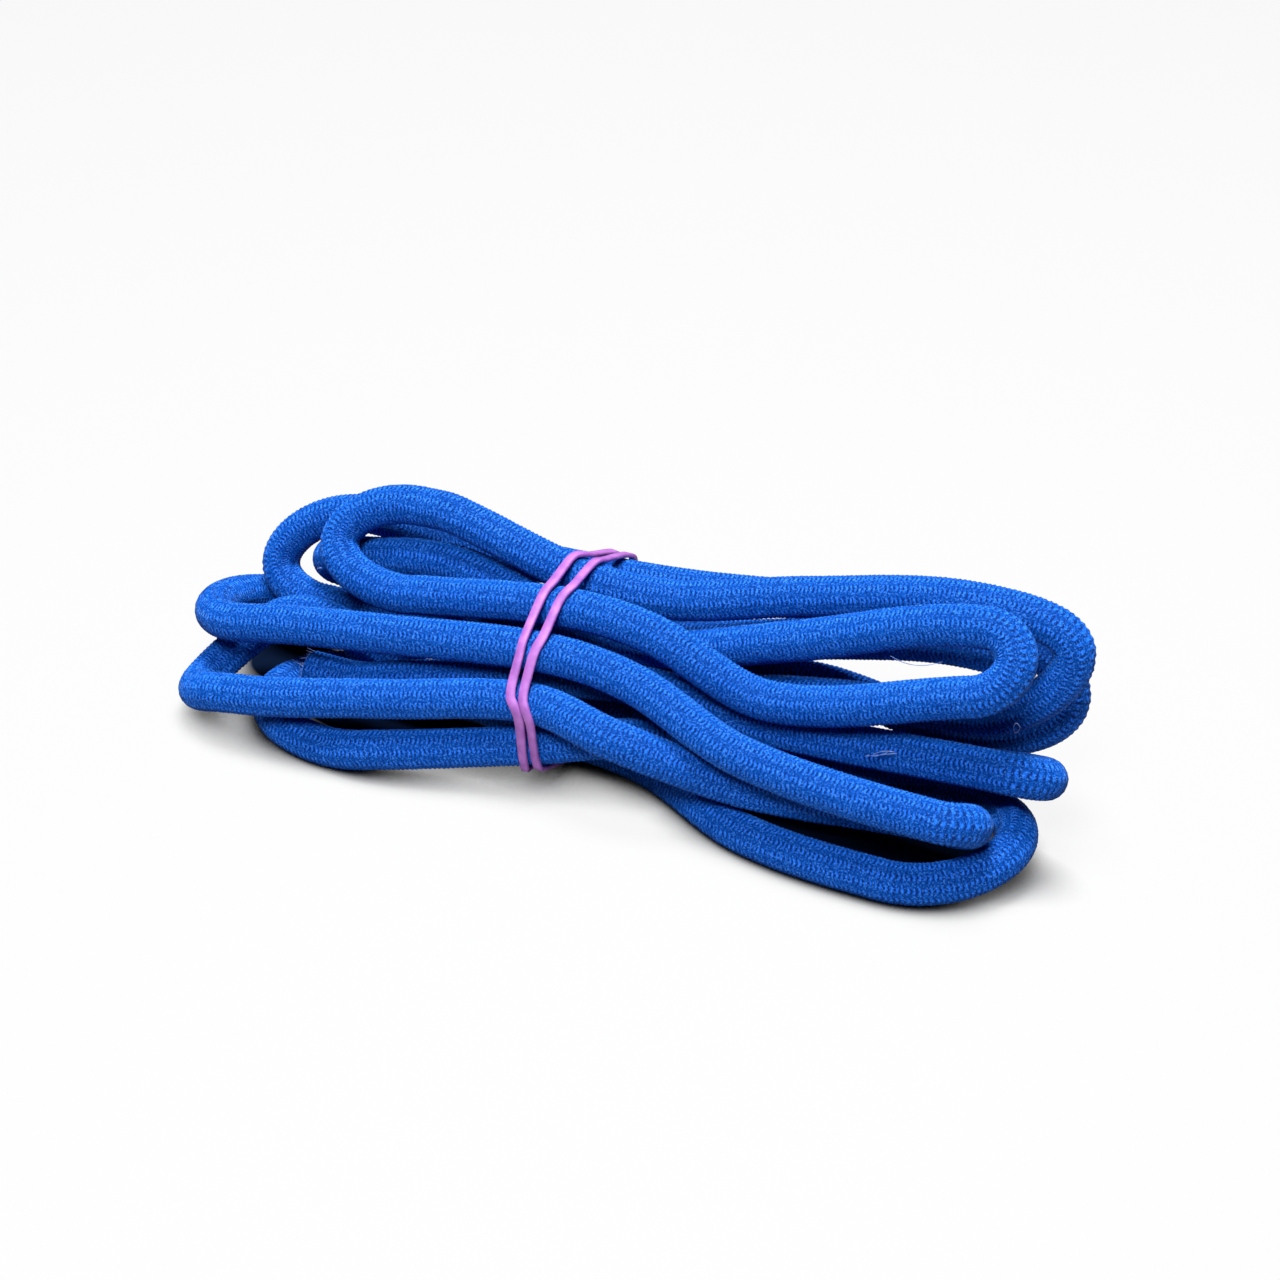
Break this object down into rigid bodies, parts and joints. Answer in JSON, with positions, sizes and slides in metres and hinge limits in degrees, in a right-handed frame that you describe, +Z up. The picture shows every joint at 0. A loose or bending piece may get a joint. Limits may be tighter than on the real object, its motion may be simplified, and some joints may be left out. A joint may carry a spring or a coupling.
{
  "type": "hank of elastic cord",
  "caption": "Hank of round woven elastic cord, laid back and forth in loops and tied near its middle with a doubled rubber band.",
  "frame": {"origin": "on the ground, below the middle of the hank's length and width", "axes": "+X runs along the hank, from the end nearer the band to the end further from it; +Y runs across it; +Z points up from the surface it lies on"},
  "size_m": [0.2036, 0.0649, 0.057],
  "materials": {
    "jacket": "woven textile, matt with a fine sparkle",
    "core": "matt natural rubber",
    "band": "matt coloured rubber"
  },
  "bodies": {
    "root": {"cord_sheath": "jacket", "rubber_core": "core", "rubber_band": "band"}
  },
  "joints": []
}
